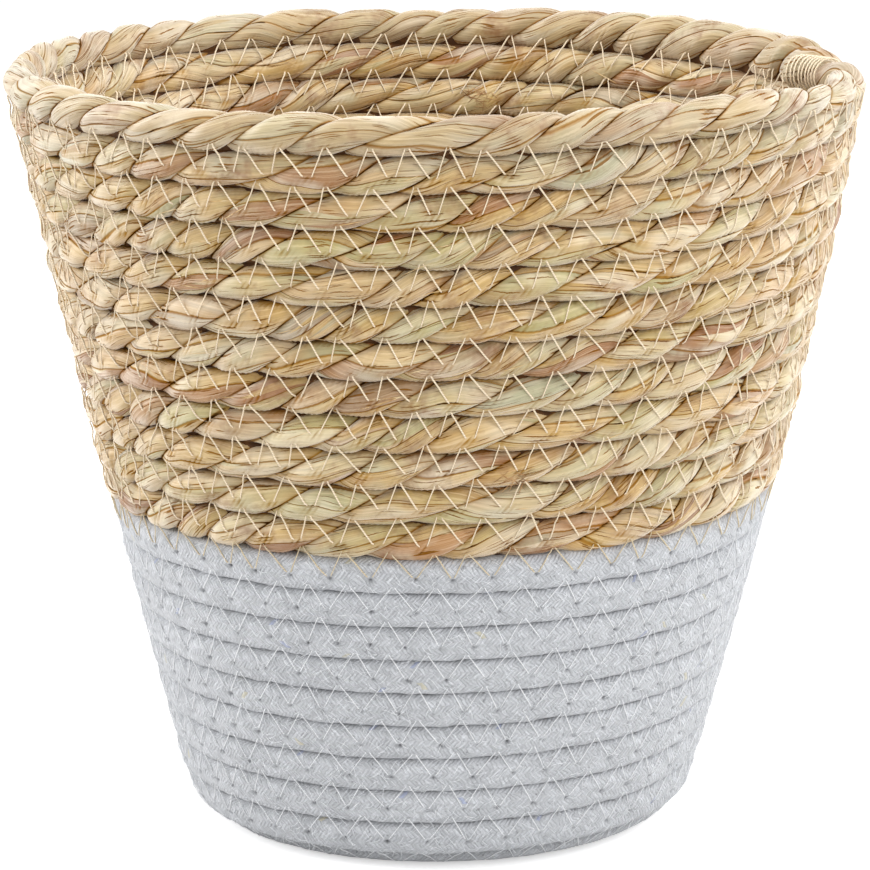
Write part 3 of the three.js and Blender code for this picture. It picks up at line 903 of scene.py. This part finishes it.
def ropesNear(angle):
    # search trees of the courses below and above the seam at an angle
    found = []
    for a in (angle, angle + turn):
        if a >= jointAngle:
            number = min(max(int(math.floor(-a / turn)), 0), lastCourse)
            found += strandTrees[number]
        else:
            found += [tree for first, last, tree in cottonTrees if first - 0.02 <= a <= last + 0.02]
    return found


def skinHeight(foot, out, angle):
    # how far the ropes stand out from a point in the wall, mm
    reach = sewing["reach"]
    best = reach
    for tree in ropesNear(angle):
        hit = tree.ray_cast(Vector((foot + out * reach) * mm), Vector(-out), (reach + 2) * mm)
        if hit[0] is not None:
            best = min(best, hit[3] / mm)
    return reach - best


def tautLeg(seam, start, end, side, radius, dip):
    # start and end are (distance along the seam, height over it)
    count = sewing["points"]
    t = np.linspace(0, 1, count)
    along = start[0] + (end[0] - start[0]) * t
    level = start[1] + (end[1] - start[1]) * t
    angles = np.interp(along, seam["length"], seam["fine"])
    middle, up, out, _ = seamFrames(angles)
    out = out * side
    feet = middle + up * level[:, None]
    heights = np.array([skinHeight(feet[i], out[i], angles[i]) for i in range(count)])
    # a taut thread bridges the hollows
    lifted = heights.copy()
    for i in range(count):
        for j in range(i):
            for k in range(i + 1, count):
                lifted[i] = max(lifted[i], heights[j] + (heights[k] - heights[j]) * (i - j) / (k - j))
    lifted = sewing["slack"] * heights + (1 - sewing["slack"]) * lifted + radius * sewing["proud"]
    lifted = np.maximum(lifted, heights + radius * sewing["least"])
    lifted[0] = heights[0] - dip
    lifted[-1] = heights[-1] - dip
    return feet + out * lifted[:, None]


def sewSeam(name, seam, side, thread, node):
    tops, bottoms = seam["tops"], seam["bottoms"]
    radius = thread["radius"]
    atTop, atBottom = thread["besideHole"]
    paths = []
    for i in range(len(tops)):
        legs = [((tops[i] + atTop, seam["rise"][i]), (bottoms[i] - atBottom, seam["drop"][i]), 1.0)]
        if i + 1 < len(tops):
            end = (tops[i + 1] - atTop, seam["rise"][i + 1])
            legs.append(((bottoms[i] + atBottom, seam["drop"][i]), end, thread["secondLeg"]))
        for start, end, thick in legs:
            paths.append((tautLeg(seam, start, end, side, radius * thick, thread["dip"]), thick))
    linePiece(name, paths, radius, thread["rounding"], thread["material"], node)


creamMat = threadMaterial("cream polyester thread", "#e6d5b9", 0.5)
# the second leg of a zigzag looks thinner
creamThread = {
    "radius": 0.25, "besideHole": (0.25, 0.75), "dip": 0.7, "secondLeg": 0.78, "rounding": 1,
    "material": creamMat,
}
# the same cream thread sunk deeper into the cotton, in a darker copy whose colour is painted shade
sunkThread = {
    "radius": 0.19, "besideHole": (0.2, 0.02), "dip": 0.3, "secondLeg": 0.78, "rounding": 1,
    "material": threadMaterial("cream thread darkened by painted shade", "#d2c2a2", 0.6),
}
paleThread = {
    "radius": 0.14, "besideHole": (0.08, 0.02), "dip": 0.25, "secondLeg": 0.92, "rounding": 0,
    "material": threadMaterial("pale nylon thread", "#eff0f2", 0.35),
}
for name, seam, thread, rope, slot in (
    ("seagrass", topSeam, creamThread, "seagrass", "seam_thread"),
    ("join", joinSeam, sunkThread, "seagrass", "seam_thread"),
    ("lock", lockSeam, creamThread, "seagrass", "seam_thread"),
    ("cotton", cottonSeam, paleThread, "cotton", "clear_thread"),
):
    sewSeam(f"{name}_stitches_outside", seam, 1, thread, f"{rope}_needle_thread")
    sewSeam(f"{name}_stitches_inside", seam, -1, thread, f"{rope}_bobbin_thread")
print("seams sewn")


# splinters of blade that have split off, and knots of frayed blade
splinter = {
    "spots": 420, "each": 1, "spread": 0,
    "radius": 0.16, "length": 8.0, "lift": 0.45, "slant": 9, "seed": 29,
}
frayed = {
    "spots": 18, "each": 24, "spread": 2.4,
    "radius": 0.13, "length": 5.0, "lift": 1.0, "slant": 34, "seed": 31,
}
bladeTaper = np.array([0.2, 0.8, 1.0, 0.9, 0.6, 0.1])
bladeTilt = 16  # degrees, along the twist of the rope


def splitBlades(name, kind, material):
    rng = np.random.default_rng(kind["seed"])
    steps = np.linspace(-0.5, 0.5, len(bladeTaper))
    paths = []
    for _ in range(kind["spots"]):
        spot = rng.uniform(jointAngle + turn * 0.3, -turn * 1.02)
        side = 1 if rng.random() < 0.65 else -1
        height = rng.uniform(-4.2, 4.2)
        turnRadius = np.hypot(*surfacePoint(runAt(np.array([spot])), np.array([spot]))[0, :2])
        for _ in range(kind["each"]):
            angle = spot + kind["spread"] * rng.normal() / turnRadius
            level = np.clip(height + 0.7 * kind["spread"] * rng.normal(), -5, 5)
            slant = math.radians(rng.normal(bladeTilt, kind["slant"]))
            size = kind["length"] * rng.uniform(0.4, 1.5)
            loose = kind["lift"] * rng.uniform(0.0, 1.3)
            thin = rng.uniform(0.4, 1.0)
            angles = angle + steps * size * math.cos(slant) / turnRadius
            middle, up, out, _ = framesAt(runAt(angles), angles, basket["seagrassPitch"])
            feet = middle + up * (level + steps * size * math.sin(slant))[:, None]
            out = out * side
            heights = np.array([skinHeight(feet[i], out[i], angles[i]) for i in range(len(steps))])
            heights = np.maximum(heights, heights.max() - 0.7) + 0.02 + loose * (steps + 0.5) ** 2
            paths.append((feet + out * heights[:, None], thin * bladeTaper))
    linePiece(name, paths, kind["radius"], 0, material, "seagrass_coil")
    print(name, len(paths))


# thin straw-like splinters, some bleached and some brown
straw = [(0.35, "#9c7244"), (0.5, "#cfae78"), (0.65, "#e3cfa4")]
brown = [(0.35, "#6e4723"), (0.5, "#a3774a"), (0.65, "#cda676")]
splitBlades("split_blades", splinter, mottledMaterial("split seagrass", 4, 1.0, 0.6, straw))
splitBlades("frayed_blades", frayed, mottledMaterial("frayed seagrass", 4, 1.0, 0.6, brown))


# thread wound round the rope's end
whipping = {
    "turns": 9,
    "sides": 20,  # points to a turn
    "length": 16.0,
    "bare": 1.0,  # rope left bare at its end
    "radius": 0.26,
    "plies": 2.2,  # twist in one turn, counted in legs of a stitch
}


def windWhipping(material):
    fine = np.linspace(basket["ropeEnd"] - 0.4, basket["ropeEnd"], 400)
    run = lengthAlong(ropeAt(fine)[0])
    around = np.linspace(0, turn * whipping["turns"], whipping["turns"] * whipping["sides"])
    toEnd = whipping["bare"] + whipping["length"] * (1 - around / around[-1]) + 0.2 * wander(around, 61, 8)
    middle, up, out, halfWidth, halfThick = seagrassFrames(np.interp(run[-1] - toEnd, run, fine))
    path = middle + out * (np.cos(around) * (halfThick * 1.03 + 0.3))[:, None]
    path = path + up * (np.sin(around) * (halfWidth * 1.02 + 0.3))[:, None]
    wound = [(path, 1.0)]
    node, slot = "rope_end_whipping", "seam_thread"
    piece = linePiece("wound_whipping", wound, whipping["radius"], 1, material, node)
    layer = piece.data.uv_layers["UVMap"].uv
    flat = np.empty(len(layer) * 2, np.float32)
    layer.foreach_get("vector", flat)
    flat[0::2] *= whipping["plies"] * whipping["turns"]
    layer.foreach_set("vector", flat)
    print("whipping turns:", whipping["turns"])


windWhipping(creamMat)


# white studio: pale floor, soft light from both sides, white all round
studio = {
    "floor": "#e2e2e2",
    "floorSize": 8,
    "glow": (0.56, 0.56, 0.56, 1),  # brings the floor up to white
    "world": 0.52,
    "aim": (0, 0, 0.11),
    "lamps": {
        "left lamp": ((-1.2, 0.2, 0.62), (1.1, 0.6), 15.5),  # place, size and power
        "right lamp": ((1.15, 0.5, 0.62), (1.1, 0.6), 12.2),
        "front lamp": ((0.78, -0.95, 0.95), (1.0, 1.0), 10.8),
        "top lamp": ((0, -0.3, 0.95), (0.5, 0.5), 4.4),
    },
}


def backgroundRays(add):
    # rays that see the white background itself
    path = add("LightPath").outputs
    seen = add("Math", path["Is Camera Ray"], path["Is Glossy Ray"], operation="MAXIMUM")
    return add("Math", seen, path["Is Transmission Ray"], operation="MAXIMUM")


def setFloor():
    bm = bmesh.new()
    bmesh.ops.create_grid(bm, x_segments=1, y_segments=1, size=studio["floorSize"])
    mesh = bpy.data.meshes.new("floor")
    bm.to_mesh(mesh)
    bm.free()
    material, add = newMaterial("white floor")
    matt = add("BsdfDiffuse", linear(studio["floor"]))
    glow = add("Emission", studio["glow"], backgroundRays(add))
    both = add("AddShader", matt, glow)
    add("OutputMaterial", both)
    mesh.materials.append(material)
    floor = bpy.data.objects.new("floor", mesh)
    bpy.context.collection.objects.link(floor)


def setLight():
    world = bpy.data.worlds.new("white studio")
    world.use_nodes = True
    world.node_tree.nodes.clear()
    add = partial(addNode, world.node_tree)
    strength = add("MapRange", backgroundRays(add), 0.0, 1.0, studio["world"], 1.0)
    sky = add("Background", (1, 1, 1, 1), strength)
    add("OutputWorld", sky)
    bpy.context.scene.world = world
    for name, (place, size, power) in studio["lamps"].items():
        lamp = bpy.data.lights.new(name, "AREA")
        lamp.shape = "RECTANGLE"
        lamp.size, lamp.size_y = size
        lamp.energy = power
        lampObject = bpy.data.objects.new(name, lamp)
        lampObject.location = place
        aim = Vector(studio["aim"]) - Vector(place)
        lampObject.rotation_euler = aim.to_track_quat("-Z", "Y").to_euler()
        bpy.context.collection.objects.link(lampObject)


# the camera that took the photograph, fitted to the basket's outline
view = {
    "sensor": 36,
    "width": 870,  # of the photograph, in pixels
    "focal": 4359.1,  # in its pixels
    "shift": 0.36,
    "place": (0, -1.25387, 0.39508),
    "down": 12.772,  # degrees
}


def setCamera():
    camera = bpy.data.cameras.new("camera")
    camera.sensor_width = view["sensor"]
    camera.lens = view["sensor"] * view["focal"] / view["width"]
    camera.shift_x = view["shift"] / view["width"]
    camera.clip_end = 50
    cameraObject = bpy.data.objects.new("camera", camera)
    cameraObject.location = view["place"]
    cameraObject.rotation_euler = (math.radians(90 - view["down"]), 0, 0)
    bpy.context.collection.objects.link(cameraObject)
    bpy.context.scene.camera = cameraObject


setFloor()
setLight()
setCamera()
bpy.context.scene.view_settings.view_transform = "Standard"
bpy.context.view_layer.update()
polygons = [p for o in bpy.data.objects if o.type == "MESH" for p in o.data.polygons]
print("stage set, triangles:", sum(len(p.vertices) - 2 for p in polygons))
